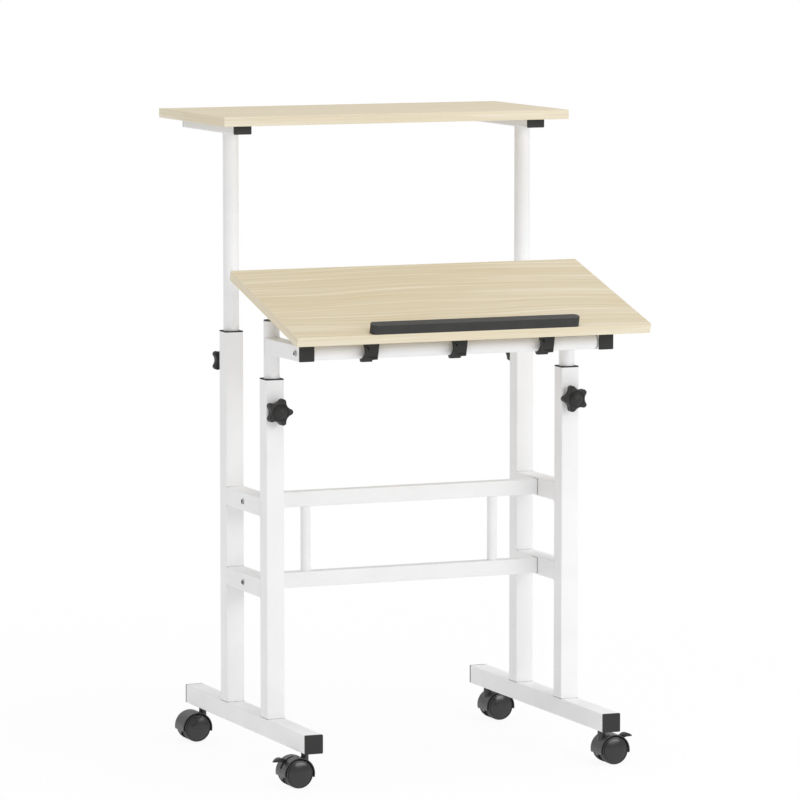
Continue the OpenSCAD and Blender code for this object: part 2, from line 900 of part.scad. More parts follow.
// Side view of a brake pedal outside the hood
module pedal_outline() {
    polygon([[17.5, 20.5], [20.5, 23.2], [25, 24.6], [29, 24.4], [33, 22.8], [36.5, 20.4], [38.5, 18.4],
        [35.5, 18.3], [31, 18.8], [26, 18.7], [21.5, 17.5]]);
}

// The pedal seen from above: a leaf between two arcs
module pedal_leaf() {
    leaf_r = (leaf_half * leaf_half + pedal_w * pedal_w / 4) / pedal_w;
    intersection() {
        translate([leaf_mid, leaf_r - pedal_w / 2]) circle(r = leaf_r);
        translate([leaf_mid, pedal_w / 2 - leaf_r]) circle(r = leaf_r);
    }
}

module brake_lever(side) {
    color(black) at_caster(side, front) at_axle() {
        intersection() {
            rotate([90, 0, 0]) linear_extrude(pedal_w + 2, center = true) pedal_outline();
            linear_extrude(2 * wheel_r) pedal_leaf();
        }
        rotate([90, 0, 0]) linear_extrude(pedal_blade, center = true) {
            translate(pedal_pivot) circle(r = 4);
            polygon([[5, 15.6], [16, 22], [20, 22], [23, 19], [10.5, 9.9]]);
        }
        translate([pedal_pivot[0], 0, pedal_pivot[1]]) rod_y(pedal_pin_d / 2, web_w - 1);
    }
}

module caster_hood_front_left() { caster_hood(left, front); }
module caster_hood_front_right() { caster_hood(right, front); }
module caster_hood_rear_left() { caster_hood(left, rear); }
module caster_hood_rear_right() { caster_hood(right, rear); }
module caster_pins_front_left() { caster_pins(left, front); }
module caster_pins_front_right() { caster_pins(right, front); }
module caster_pins_rear_left() { caster_pins(left, rear); }
module caster_pins_rear_right() { caster_pins(right, rear); }
module wheel_near_front_left() { wheel(left, front, front); }
module wheel_far_front_left() { wheel(left, front, rear); }
module wheel_near_front_right() { wheel(right, front, front); }
module wheel_far_front_right() { wheel(right, front, rear); }
module wheel_near_rear_left() { wheel(left, rear, front); }
module wheel_far_rear_left() { wheel(left, rear, rear); }
module wheel_near_rear_right() { wheel(right, rear, front); }
module wheel_far_rear_right() { wheel(right, rear, rear); }
module brake_lever_left() { brake_lever(left); }
module brake_lever_right() { brake_lever(right); }

foot_rail_left();
foot_rail_right();
foot_end_caps();
caster_sockets();
column_front_left();
column_front_right();
column_rear_left();
column_rear_right();
side_rails();
upper_crossbar();
lower_crossbar();
crossbar_struts();
crossbar_bolts();
crossbar_nuts();
column_bushes();
knob_nuts();
desk_post_left();
desk_post_right();
post_caps();
arm_left();
arm_right();
arm_end_caps();
pivot_washers();
desktop();
pivot_bar();
pivot_inserts();
pivot_bolts();
desk_supports();
desktop_screws();
laptop_stop();
hooks();
shelf();
shelf_post_left();
shelf_post_right();
shelf_bracket_left();
shelf_bracket_right();
bracket_end_caps();
shelf_screws();
knob_front_left();
knob_front_right();
knob_rear_left();
knob_rear_right();
caster_hood_front_left();
caster_hood_front_right();
caster_hood_rear_left();
caster_hood_rear_right();
caster_pins_front_left();
caster_pins_front_right();
caster_pins_rear_left();
caster_pins_rear_right();
wheel_near_front_left();
wheel_far_front_left();
wheel_near_front_right();
wheel_far_front_right();
wheel_near_rear_left();
wheel_far_rear_left();
wheel_near_rear_right();
wheel_far_rear_right();
brake_lever_left();
brake_lever_right();
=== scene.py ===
import json
import math

import bmesh
import bpy
from mathutils import Matrix, Vector

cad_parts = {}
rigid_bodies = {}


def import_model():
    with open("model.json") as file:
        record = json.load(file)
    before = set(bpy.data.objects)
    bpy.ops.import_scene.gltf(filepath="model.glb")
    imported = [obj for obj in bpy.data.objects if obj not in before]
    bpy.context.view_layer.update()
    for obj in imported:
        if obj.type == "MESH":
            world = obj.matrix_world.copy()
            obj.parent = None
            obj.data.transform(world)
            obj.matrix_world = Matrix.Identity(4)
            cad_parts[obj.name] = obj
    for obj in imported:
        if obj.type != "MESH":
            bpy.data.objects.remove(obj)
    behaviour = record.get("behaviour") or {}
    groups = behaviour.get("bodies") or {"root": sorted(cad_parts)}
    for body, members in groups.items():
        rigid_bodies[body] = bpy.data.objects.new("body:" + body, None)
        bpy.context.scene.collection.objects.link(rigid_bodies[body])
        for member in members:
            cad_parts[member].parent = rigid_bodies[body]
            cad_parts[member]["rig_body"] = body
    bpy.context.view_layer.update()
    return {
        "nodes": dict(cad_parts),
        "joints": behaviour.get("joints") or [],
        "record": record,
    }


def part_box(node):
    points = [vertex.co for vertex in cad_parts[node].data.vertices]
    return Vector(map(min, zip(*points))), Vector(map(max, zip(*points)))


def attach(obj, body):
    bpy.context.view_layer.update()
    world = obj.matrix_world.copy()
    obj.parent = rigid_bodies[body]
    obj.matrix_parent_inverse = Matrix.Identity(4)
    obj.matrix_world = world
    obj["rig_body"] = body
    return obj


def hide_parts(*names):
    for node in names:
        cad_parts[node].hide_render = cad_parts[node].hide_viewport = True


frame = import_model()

nodes = frame["nodes"]
joints = {joint["name"]: joint for joint in frame["joints"]}
sides = ("left", "right")
ends = ("front", "rear")
fourCorners = [(end, side) for end in ends for side in sides]
outward = {"left": -1, "right": 1, "front": -1, "rear": 1}
fullTurn = 2 * math.pi
print("frame loaded:", len(nodes), "nodes")


def boxOf(nodeName):
    # lowest and highest corner of a CAD node at rest
    return [Vector(corner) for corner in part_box(nodeName)]


displayCurve = {"knee": 0.04045, "slope": 12.92, "offset": 0.055, "power": 2.4}


def linear(red, green, blue):
    # 0-255 display colour to the linear values that shaders use
    curve = displayCurve
    out = []
    for part in (red / 255, green / 255, blue / 255):
        if part <= curve["knee"]:
            out.append(part / curve["slope"])
        else:
            out.append(((part + curve["offset"]) / (1 + curve["offset"])) ** curve["power"])
    return (*out, 1.0)


class Wire:
    # a node's output that takes part in Python sums
    def __init__(self, graph, socket):
        self.graph = graph
        self.socket = socket

    def combine(self, operation, other):
        return self.graph.wire("ShaderNodeMath", 0, {"operation": operation}, {0: self, 1: other})

    def __add__(self, other):
        return self.combine("ADD", other)

    def __sub__(self, other):
        return self.combine("SUBTRACT", other)

    def __mul__(self, other):
        return self.combine("MULTIPLY", other)


class Graph:
    # a node tree: a node's settings are set first, then its inputs' values and links
    def __init__(self, tree):
        self.tree = tree

    def give(self, socket, value):
        if isinstance(value, Wire):
            self.tree.links.new(value.socket, socket)
        else:
            socket.default_value = value

    def node(self, kind, settings=None, values=None):
        made = self.tree.nodes.new(kind)
        for key, value in (settings or {}).items():
            setattr(made, key, value)
        for key, value in (values or {}).items():
            self.give(made.inputs[key], value)
        return made

    def wire(self, kind, output, settings=None, values=None):
        return Wire(self, self.node(kind, settings, values).outputs[output])

    def mixToOutput(self, share, first, second, output):
        # the output shows the first shader where the share is 0, the second where it is 1
        mix = self.wire("ShaderNodeMixShader", 0, {}, {
            0: share, 1: Wire(self, first.outputs[0]), 2: Wire(self, second.outputs[0]),
        })
        self.give(self.tree.nodes[output].inputs["Surface"], mix)


class Shade(Graph):
    # one material with its Principled shader
    def __init__(self, name, values):
        self.material = bpy.data.materials.new(name)
        self.material.use_nodes = True
        super().__init__(self.material.node_tree)
        self.surface = self.tree.nodes["Principled BSDF"]
        self.place = self.wire("ShaderNodeTexCoord", "Object")
        self.feed(values)

    def feed(self, values):
        for key, value in values.items():
            self.give(self.surface.inputs[key], value)
        return self.material

    def mapped(self, values):
        return self.wire("ShaderNodeMapping", "Vector", {}, {"Vector": self.place, **values})

    def join(self, first, second, third):
        return self.wire("ShaderNodeCombineXYZ", "Vector", {}, {0: first, 1: second, 2: third})

    def noise(self, at, scale, detail, rough=0.5):
        return self.wire("ShaderNodeTexNoise", "Fac", {},
                         {"Vector": at, "Scale": scale, "Detail": detail, "Roughness": rough})

    def ramp(self, value, stops):
        # two stops, as (where, grey value)
        made = self.node("ShaderNodeValToRGB", {}, {"Fac": value})
        for stop, (where, grey) in zip(made.color_ramp.elements, stops):
            stop.position = where
            stop.color = (grey, grey, grey, 1.0)
        return Wire(self, made.outputs["Color"])

    def blend(self, share, first, second):
        return self.wire("ShaderNodeMix", 2, {"data_type": "RGBA"}, {0: share, 6: first, 7: second})

    def bump(self, height, distance, strength):
        return self.wire("ShaderNodeBump", "Normal", {},
                         {"Height": height, "Distance": distance, "Strength": strength})


mapleLook = {
    "face": {"pale": linear(204, 194, 171), "warm": linear(199, 186, 156),
             "line": linear(188, 165, 119), "gleam": linear(216, 208, 187)},
    # side: a lighter copy of the edge strip's tone for the left and right edges, painted light for
    # faces the lamps light less
    "side": {"pale": linear(243, 233, 208), "warm": linear(236, 223, 194),
             "line": linear(214, 197, 164), "gleam": linear(248, 242, 224)},
    "strip": {"pale": linear(238, 230, 209), "warm": linear(228, 215, 186),
              "line": linear(216, 199, 165), "gleam": linear(246, 240, 224)},
    "shelfStrip": {"pale": linear(231, 223, 202), "warm": linear(221, 208, 179),
                   "line": linear(209, 192, 158), "gleam": linear(239, 233, 217)},
    "ior": 1.45,
    # noises, as the scale (along, across, up) the board, the detail and the roughness
    "swayNoise": ((1.7, 3.2, 3), 1.5),
    "band": ((2, 100, 9), 4.0, 0.55), "stripBand": ((2, 58, 9), 4.0, 0.55),
    "broad": ((1.1, 8, 3), 2.0), "streak": ((4.8, 430, 9), 2.0), "pore": ((18, 774, 9), 2.0, 0.6),
    "sway": 0.1, "stripSway": 0.004,   # how far the grain wanders across
    "rings": 25.0,
    "shift": {"laminate": 0.0, "edge strip": 3.7, "side strip": 5.2},   # no two grains line up
    # how much of each noise the patches, the gleams and the relief take
    "patchMix": (0.55, 0.45), "gleamMix": 0.4, "reliefMix": (0.6, 0.4),
    # share of each colour, as (where in the noise, share)
    "patches": ((0.38, 0.0), (0.62, 1.0)),
    "late": ((0.5, 0.0), (0.97, 0.45)), "lateWhere": ((0.4, 0.2), (0.62, 1.0)),
    "streaks": ((0.30, 0.5), (0.43, 0.0)), "gleams": ((0.74, 0.0), (0.90, 0.85)),
    "pores": ((0.26, 0.35), (0.36, 0.0)),
    "roughness": ((0.2, 0.52), (0.8, 0.40)),
    "relief": (0.00004, 0.5),   # depth and strength
}


def makeMaple(name, tone, tilt, strip, shift):
    # the grain runs along X on a face, and along the strip on an edge
    look = mapleLook
    wood = Shade(name, {"IOR": look["ior"]})
    laid = wood.mapped({"Rotation": (-tilt, 0, 0), "Location": (shift, shift, 0)})
    apart = wood.node("ShaderNodeSeparateXYZ", {}, {0: laid})
    along, across, up = (Wire(wood, socket) for socket in apart.outputs)
    if strip:
        along, across = along + across, up

    def grain(scale, detail, rough=0.5):
        at = wood.join(along * scale[0], across * scale[1], up * scale[2])
        return wood.noise(at, 1.0, detail, rough)

    across = across + (grain(*look["swayNoise"]) - 0.5) * look["stripSway" if strip else "sway"]
    band = grain(*look["stripBand" if strip else "band"])
    broad = grain(*look["broad"])
    streak = grain(*look["streak"])
    pore = grain(*look["pore"])
    ring = wood.wire("ShaderNodeTexWave", "Fac", {"bands_direction": "Y", "wave_profile": "SAW"},
                     {"Vector": wood.join(0.0, across, 0.0), "Scale": look["rings"]})
    bandPart, broadPart = look["patchMix"]
    patch = wood.ramp(band * bandPart + broad * broadPart, look["patches"])
    late = wood.ramp(ring, look["late"]) * wood.ramp(broad, look["lateWhere"])
    gleam = wood.ramp(band + streak * look["gleamMix"], look["gleams"])
    colour = wood.blend(patch, tone["warm"], tone["pale"])
    colour = wood.blend(late, colour, tone["line"])
    colour = wood.blend(wood.ramp(streak, look["streaks"]), colour, tone["line"])
    colour = wood.blend(gleam, colour, tone["gleam"])
    colour = wood.blend(wood.ramp(pore, look["pores"]), colour, tone["line"])
    streakPart, porePart = look["reliefMix"]
    return wood.feed({
        "Base Color": colour,
        "Roughness": wood.ramp(streak, look["roughness"]),
        "Normal": wood.bump(streak * streakPart + pore * porePart, *look["relief"]),
    })


steelLook = {
    "white": linear(250, 250, 251), "shade": linear(246, 246, 247), "ior": 1.5,
    "cloud": (14.0, 2.0), "peel": (620.0, 2.0, 0.45),   # scale, detail and roughness of a noise
    "patches": ((0.35, 0.0), (0.65, 1.0)), "roughness": ((0.3, 0.41), (0.7, 0.33)),
    "relief": (0.00006, 0.35),
}


def makeWhiteSteel():
    look = steelLook
    paint = Shade("white powder coat", {"IOR": look["ior"]})
    cloud = paint.noise(paint.place, *look["cloud"])
    peel = paint.noise(paint.place, *look["peel"])
    patch = paint.ramp(cloud, look["patches"])
    return paint.feed({
        "Base Color": paint.blend(patch, look["shade"], look["white"]),
        "Roughness": paint.ramp(cloud, look["roughness"]),
        "Normal": paint.bump(peel, *look["relief"]),
    })


plasticLook = {
    "moulded": {"name": "black moulded plastic", "colour": linear(35, 35, 35),
                "worn": linear(42, 42, 41), "roughness": 0.46, "grain": 1500.0, "relief": 0.4},
    "dome": {"name": "polished caster plastic", "colour": linear(12, 12, 12),
             "worn": linear(17, 17, 16), "roughness": 0.2, "grain": 900.0, "relief": 0.06,
             "ior": 1.64},
    "hood": {"name": "satin caster plastic", "colour": linear(56, 56, 56),
             "worn": linear(68, 68, 67), "roughness": 0.32, "grain": 1200.0, "relief": 0.25},
    "ledge": {"name": "soft black ledge", "colour": linear(46, 46, 45),
              "worn": linear(54, 54, 52), "roughness": 0.5, "grain": 1500.0, "relief": 0.4},
    # near-black: the column bushes' own plastic, and painted shade in the bolts' hex sockets and on
    # the wheels' inner flanks and treads
    "nearBlackAndPaintedShade": {"name": "near-black plastic and painted shade", "colour": linear(14, 14, 14),
               "worn": linear(24, 24, 24), "roughness": 0.6, "grain": 1500.0, "relief": 0.4},
    # painted shadow: the grey of the lines laid in the joints between tubes and around the
    # crossbars' ends
    "joint": {"name": "grey painted joint shadow", "colour": linear(104, 104, 104),
              "worn": linear(126, 126, 125), "roughness": 0.6, "grain": 1500.0, "relief": 0.4},
}
# what all the plastics share; gloss is a change of the roughness
plasticGrain = {
    "cloud": (55.0, 3.0), "grit": (2.0, 0.6), "wear": ((0.3, 0.0), (0.75, 1.0)),
    "gloss": ((0.25, -0.05), (0.75, 0.07)), "depth": 0.00005,
}


def makePlastic(name, colour, worn, roughness, grain, relief, ior=1.46):
    look = plasticGrain
    plastic = Shade(name, {"IOR": ior})
    cloud = plastic.noise(plastic.place, *look["cloud"])
    grit = plastic.noise(plastic.place, grain, *look["grit"])
    gloss = [(where, roughness + change) for where, change in look["gloss"]]
    return plastic.feed({
        "Base Color": plastic.blend(plastic.ramp(cloud, look["wear"]), colour, worn),
        "Roughness": plastic.ramp(cloud, gloss),
        "Normal": plastic.bump(grit, look["depth"], relief),
    })


zincLook = {
    "bright": linear(196, 196, 194), "dull": linear(150, 150, 148),
    "cloud": (120.0, 3.0), "brush": (900.0, 75.0, 900.0), "brushDetail": 2.0,
    "patches": ((0.3, 0.0), (0.7, 1.0)), "roughness": ((0.3, 0.42), (0.7, 0.25)),
    "relief": (0.00002, 0.3),
}


def makeZinc():
    look = zincLook
    zinc = Shade("zinc plated steel", {"Metallic": 1.0})
    cloud = zinc.noise(zinc.place, *look["cloud"])
    scratch = zinc.noise(zinc.mapped({"Scale": look["brush"]}), 1.0, look["brushDetail"])
    return zinc.feed({
        "Base Color": zinc.blend(zinc.ramp(cloud, look["patches"]), look["dull"], look["bright"]),
        "Roughness": zinc.ramp(scratch, look["roughness"]),
        "Normal": zinc.bump(scratch, *look["relief"]),
    })


boardTilt = {"desktop": math.radians(15.7), "shelf": 0.0}
stripTone = {"desktop": mapleLook["strip"], "shelf": mapleLook["shelfStrip"]}


def boardFinish(board, part, tone):
    return makeMaple(f"{board} {part}", tone, boardTilt[board], part != "laminate",
                     mapleLook["shift"][part])


laminate = {board: boardFinish(board, "laminate", mapleLook["face"]) for board in boardTilt}
edgeStrip = {board: boardFinish(board, "edge strip", stripTone[board]) for board in boardTilt}
sideStripPaintedLight = {board: boardFinish(board, "side strip", mapleLook["side"]) for board in boardTilt}
whiteSteel = makeWhiteSteel()
plastics = {key: makePlastic(**look) for key, look in plasticLook.items()}

nodeSlot = {part["node"]: part["material_slot"] for part in frame["record"]["subparts"]}
slotFinish = {"white_steel": whiteSteel, "black_plastic": plastics["moulded"],
              "wheel_plastic": plastics["dome"], "bright_steel": makeZinc()}
nodeFinish = {**laminate, "column_bushes": plastics["nearBlackAndPaintedShade"], "laptop_stop": plastics["ledge"]}
for end, side in fourCorners:
    nodeFinish[f"caster_hood_{end}_{side}"] = plastics["hood"]
for name, node in nodes.items():
    if name not in nodeFinish:
        nodeFinish[name] = slotFinish[nodeSlot[name]]
    node.data.materials.clear()
    node.data.materials.append(nodeFinish[name])
print("finishes made")


def addPiece(name, mesh, body, material):
    mesh.materials.clear()
    mesh.materials.append(material)
    piece = bpy.data.objects.new(name, mesh)
    bpy.context.scene.collection.objects.link(piece)
    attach(piece, body)
    return piece


# the angle that stays sharp beside a large face, and how much larger that face is
smoothLook = {"flat": math.radians(7), "share": 12}


def smoothByAngle(mesh, degrees):
    # small edges are smoothed, and a large face beside narrow ones stays flat
    shape = bmesh.new()
    shape.from_mesh(mesh)
    for face in shape.faces:
        face.smooth = True
    for edge in shape.edges:
        areas = sorted(face.calc_area() for face in edge.link_faces)
        limit = math.radians(degrees)
        if len(areas) == 2 and areas[1] > smoothLook["share"] * areas[0]:
            limit = smoothLook["flat"]
        edge.smooth = edge.calc_face_angle(math.pi) < limit
    shape.to_mesh(mesh)
    shape.free()


def meshWithModifier(name, mesh, kind, settings):
    # a plain mesh with one modifier applied; a node group's inputs are keys, not attributes
    holder = bpy.data.objects.new(name, mesh)
    bpy.context.scene.collection.objects.link(holder)
    modifier = holder.modifiers.new(kind, kind)
    for key, value in settings.items():
        if hasattr(modifier, key):
            setattr(modifier, key, value)
        else:
            modifier[key] = value
    solved = holder.evaluated_get(bpy.context.evaluated_depsgraph_get())
    made = bpy.data.meshes.new_from_object(solved)
    bpy.data.objects.remove(holder)
    return made


roundLook = {"steps": 3, "sharp": 40, "merge": 1e-6, "level": math.radians(0.6), "smooth": 30}


def roundedCopy(nodeName, width, segments=roundLook["steps"], sharp=roundLook["sharp"],
                merge=roundLook["merge"], clamp=True):
    # same solid, joined into whole faces, with a small round on every sharp edge
    shape = bmesh.new()
    shape.from_mesh(nodes[nodeName].data)
    bmesh.ops.remove_doubles(shape, verts=shape.verts, dist=merge)
    bmesh.ops.dissolve_limit(shape, angle_limit=roundLook["level"], verts=shape.verts,
                             edges=shape.edges)
    plain = bpy.data.meshes.new(nodeName + "Plain")
    shape.to_mesh(plain)
    shape.free()
    rounded = meshWithModifier(nodeName + "Plain", plain, "BEVEL", {
        "width": width, "segments": segments, "limit_method": "ANGLE",
        "angle_limit": math.radians(sharp), "use_clamp_overlap": clamp,
    })
    smoothByAngle(rounded, roundLook["smooth"])
    piece = addPiece(nodeName + "Rounded", rounded, nodes[nodeName]["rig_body"],
                     nodeFinish[nodeName])
    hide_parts(nodeName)
    return piece


# widths of the rounds on plastic parts and tube ends
roundings = {
    "laptop_stop": 0.0012, "foot_end_caps": 0.0006, "arm_end_caps": 0.0005,
    "bracket_end_caps": 0.0005, "post_caps": 0.0007, "column_bushes": 0.0004,
    "brake_lever_left": 0.0009, "brake_lever_right": 0.0009,
    "side_rails": 0.0006, "upper_crossbar": 0.0006, "lower_crossbar": 0.0006,
    "desk_supports": 0.0005,
}
hookRounding = {"width": 0.00018, "segments": 2, "merge": 0.00014, "clamp": False}
hoodRounding = {"width": 0.0004, "segments": 2}
columnRounding = {"width": 0.0006, "segments": 2}
for nodeName, width in roundings.items():
    roundedCopy(nodeName, width)
roundedCopy("hooks", **hookRounding)
for end, side in fourCorners:
    roundedCopy(f"caster_hood_{end}_{side}", **hoodRounding)
    roundedCopy(f"column_{end}_{side}", **columnRounding)
print("plastic parts and tube ends rounded")


boltLook = {"round": 0.0003, "steps": 2, "crossbarSocket": 0.0023, "pivotSocket": 0.0019}


def makeBolts(nodeName, axes, socket):
    # the head's faces inside the radius of its hex socket get the near-black material: painted
    # shade in the socket
    piece = roundedCopy(nodeName, boltLook["round"], boltLook["steps"])
    piece.data.materials.append(plastics["nearBlackAndPaintedShade"])
    for face in piece.data.polygons:
        away = min(math.hypot(face.center.y - y, face.center.z - z) for y, z in axes)
        face.material_index = 1 if away < socket else 0


crossbars = ("lower_crossbar", "upper_crossbar")
crossbarAxes = []
for nodeName in crossbars:
    low, high = boxOf(nodeName)
    crossbarAxes.append(((low.y + high.y) / 2, (low.z + high.z) / 2))
makeBolts("crossbar_bolts", crossbarAxes, boltLook["crossbarSocket"])
makeBolts("pivot_bolts", [joints["desk_tilt"]["pos_m"][1:]], boltLook["pivotSocket"])
print("bolts made")


boardLook = {"arris": 0.0007, "steps": 3, "sharp": 60, "faceFrom": 0.9, "sideFrom": 0.7}


def makeBoard(nodeName):
    # laminate above and below, the edge strip at front and back, and at left and right the side
    # strip: a lighter copy of the edge strip, painted light for faces the lamps light less
    look = boardLook
    piece = roundedCopy(nodeName, look["arris"], look["steps"], look["sharp"])
    piece.data.materials.append(edgeStrip[nodeName])
    piece.data.materials.append(sideStripPaintedLight[nodeName])
    tilt = boardTilt[nodeName]
    up = Vector((0, -math.sin(tilt), math.cos(tilt)))
    for face in piece.data.polygons:
        # left and right faces take the lighter copy of the edge strip: painted light
        strip = 2 if abs(face.normal.x) > look["sideFrom"] else 1
        face.material_index = 0 if abs(face.normal.dot(up)) > look["faceFrom"] else strip


for nodeName in boardTilt:
    makeBoard(nodeName)
print("boards made")


# star knobs: a lofted star with a grooved rim and a dome, on a threaded stud
knobLook = {
    "lobes": 5, "radius": 0.022, "scallop": 0.012, "foot": 0.0155, "tipSteps": 10,
    "scallopSteps": 10, "back": 0.0095, "thick": 0.015, "smooth": 38,
    "dome": 0.0123, "domeHeight": 0.006, "groove": 0.013, "grooveDeep": 0.0012, "domeSteps": 9,
    "studRadius": 0.004, "studFoot": -0.0018, "studTop": 0.017, "studSides": 24,
    "pitch": 0.00125, "thread": 0.0006, "holeSlack": 0.0001, "holeDeep": 0.0006,
    # height above the back face, and how far the rim stands back there
    "rim": ((0.0, 0.0011), (0.0003, 0.0005), (0.0010, 0.0), (0.0046, 0.0), (0.0052, 0.0009),
            (0.0060, 0.0009), (0.0066, 0.0), (0.0120, 0.0001), (0.0137, 0.0005),
            (0.0146, 0.0010), (0.0150, 0.0015)),
}


def onCircle(centre, radius, angle):
    return centre + radius * Vector((math.cos(angle), math.sin(angle)))


def starRing(inset):
    # outline of the star, made of tip arcs and scallop arcs that touch
    look = knobLook
    half = math.pi / look["lobes"]
    radius, scallop = look["radius"], look["scallop"]
    reach = look["foot"] + scallop
    spread = radius ** 2 + reach ** 2 - 2 * reach * radius * math.cos(half) - scallop ** 2
    tip = spread / (2 * (scallop + radius - reach * math.cos(half)))
    tipAt = Vector((radius - tip, 0))
    scallopAt = Vector((reach * math.cos(half), reach * math.sin(half)))
    towards = scallopAt - tipAt
    meet = math.atan2(towards.y, towards.x)
    points = []
    for lobe in range(look["lobes"]):
        turn = Matrix.Rotation(2 * half * lobe, 2)
        for step in range(look["tipSteps"]):
            angle = meet * (2 * step / look["tipSteps"] - 1)
            points.append(turn @ onCircle(tipAt, tip - inset, angle))
        for step in range(look["scallopSteps"]):
            angle = meet + math.pi - 2 * (meet - half) * step / look["scallopSteps"]
            points.append(turn @ onCircle(scallopAt, scallop + inset, angle))
    return points


def loft(rings):
    # closed skin through rings of points, all with the same count
    shape = bmesh.new()
    rows = [[shape.verts.new(point) for point in ring] for ring in rings]
    for lower, upper in zip(rows, rows[1:]):
        for i in range(len(lower)):
            j = (i + 1) % len(lower)
            shape.faces.new((lower[i], lower[j], upper[j], upper[i]))
    shape.faces.new(list(reversed(rows[0])))
    shape.faces.new(rows[-1])
    bmesh.ops.recalc_face_normals(shape, faces=shape.faces)
    mesh = bpy.data.meshes.new("loft")
    shape.to_mesh(mesh)
    shape.free()
    return mesh


def knobRings(lobeSide):
    # from the bottom of the stud's hole, out over the rim, to the top of the dome
    look = knobLook
    thick, dome, rise = look["thick"], look["dome"], look["domeHeight"]
    flat = [(height, starRing(inset)) for height, inset in look["rim"]]
    spokes = [point.normalized() for point in flat[-1][1]]
    hole = [spoke * (look["studRadius"] + look["holeSlack"]) for spoke in spokes]
    flat = [(look["holeDeep"], hole), (0.0, hole), *flat]
    flat.append((thick, [spoke * look["groove"] for spoke in spokes]))
    for radius in (look["groove"], dome):
        flat.append((thick - look["grooveDeep"], [spoke * radius for spoke in spokes]))
    ball = (dome ** 2 + rise ** 2) / (2 * rise)
    widest = math.asin(dome / ball)
    for step in range(look["domeSteps"]):
        angle = widest * (1 - step / look["domeSteps"])
        height = thick + rise - ball * (1 - math.cos(angle))
        flat.append((height, [spoke * ball * math.sin(angle) for spoke in spokes]))
    return [[(lobeSide * point.x, height, point.y) for point in ring] for height, ring in flat]


def studRings():
    # crest and root of the thread take turns, half a pitch apart
    look = knobLook
    turns = [fullTurn * i / look["studSides"] for i in range(look["studSides"])]
    rings = []
    for row in range(int((look["studTop"] - look["studFoot"]) / look["pitch"] * 2) + 1):
        radius = look["studRadius"] - look["thread"] * (row % 2)
        height = look["studFoot"] + row * look["pitch"] / 2
        rings.append([(radius * math.cos(turn), height, radius * math.sin(turn))
                      for turn in turns])
    return rings


def makeKnob(end, side):
    joint = joints[f"knob_{end}_{side}_turn"]
    turned = Matrix.Diagonal((1, outward[end], 1, 1))
    place = Matrix.Translation(joint["pos_m"]) @ turned
    parts = (("Star", knobRings(-outward[side]), knobLook["back"], "black_plastic"),
             ("Stud", studRings(), 0.0, "bright_steel"))
    for part, rings, lift, slot in parts:
        mesh = loft(rings)
        mesh.transform(place @ Matrix.Translation((0, lift, 0)))
        if end == "front":
            mesh.flip_normals()
        smoothByAngle(mesh, knobLook["smooth"])
        piece = addPiece(f"knob{part}_{end}_{side}", mesh, f"clamp_knob_{end}_{side}",
                         slotFinish[slot])
        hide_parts(f"knob_{end}_{side}")


for end, side in fourCorners:
    makeKnob(end, side)
print("knobs made")


# caster wheels, turned about the axle: a tread, a grooved rim and a domed face
wheelLook = {
    "count": 72, "slack": 0.00004, "bore": 0.0032, "boreDeep": 0.011, "rim": 0.023,
    "deep": 0.0135, "edge": 0.003, "edgeSteps": (0, 15, 30, 45, 60, 72, 80),
    "flankEdge": 0.0006, "groove": (0.0204, 0.0193), "grooveDeep": 0.0009,
    "dome": 0.0036, "domeFrom": 0.0192, "domeSteps": 10, "middle": 0.0003, "smooth": 25,
}


def wheelProfile():
    # radius and height above the wheel's inner flank
    look = wheelLook
    face = look["rim"] - look["edge"]
    bend = look["edge"] - look["slack"]
    rings = [(look["bore"], look["boreDeep"]), (look["bore"], 0),
             (look["rim"] - look["flankEdge"], 0),
             (look["rim"] - look["slack"], look["flankEdge"])]
    for degrees in look["edgeSteps"]:
        angle = math.radians(degrees)
        rings.append((face + bend * math.cos(angle),
                      look["deep"] - look["edge"] + bend * math.sin(angle)))
    rings += [(radius, look["deep"] - look["grooveDeep"]) for radius in look["groove"]]
    ball = (face ** 2 + look["dome"] ** 2) / (2 * look["dome"])
    for step in range(look["domeSteps"] + 1):
        inward = (look["middle"] - look["domeFrom"]) * step / look["domeSteps"]
        radius = look["domeFrom"] + inward
        drop = ball - math.sqrt(ball ** 2 - radius ** 2)
        rings.append((radius, look["deep"] + look["dome"] - look["slack"] - drop))
    return rings


def makeWheel(nodeName, toward):
    # toward is the way the domed face looks along Y; the inner flank and tread get the near-black
    # material: painted shade under the hood and between the two wheels
    look = wheelLook
    low, high = boxOf(nodeName)
    flank = high.y if toward < 0 else low.y
    middle = (low + high) / 2
    turns = [fullTurn * step / look["count"] for step in range(look["count"])]
    rings = [[(middle.x + radius * math.cos(turn), flank + toward * height,
               middle.z + radius * math.sin(turn)) for turn in turns]
             for radius, height in wheelProfile()]
    mesh = loft(rings)
    smoothByAngle(mesh, look["smooth"])
    piece = addPiece(nodeName + "Turned", mesh, nodes[nodeName]["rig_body"],
                     plastics["dome"])
    # painted shade: the inner flank and the tread take the near-black material
    piece.data.materials.append(plastics["nearBlackAndPaintedShade"])
    for face in piece.data.polygons:
        height = toward * (face.center.y - flank)
        face.material_index = 1 if height < look["deep"] - look["edge"] else 0
    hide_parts(nodeName)


for end, side in fourCorners:
    makeWheel(f"wheel_near_{end}_{side}", -1)
    makeWheel(f"wheel_far_{end}_{side}", 1)
print("wheels made")


# weld beads, and grey lines of painted shadow where tubes meet, laid along paths by geometry nodes
beadLook = {"radius": 0.0013, "spacing": 0.0017, "least": 0.85, "most": 1.1, "seed": 11,
            "subdivisions": 2, "nutRadius": 0.008}
# sizes of the grey lines of painted shadow
shadowLineLook = {"radius": 0.00055, "gap": 0.0009, "sunk": 0.0003, "corners": 6}
arcSteps = 28


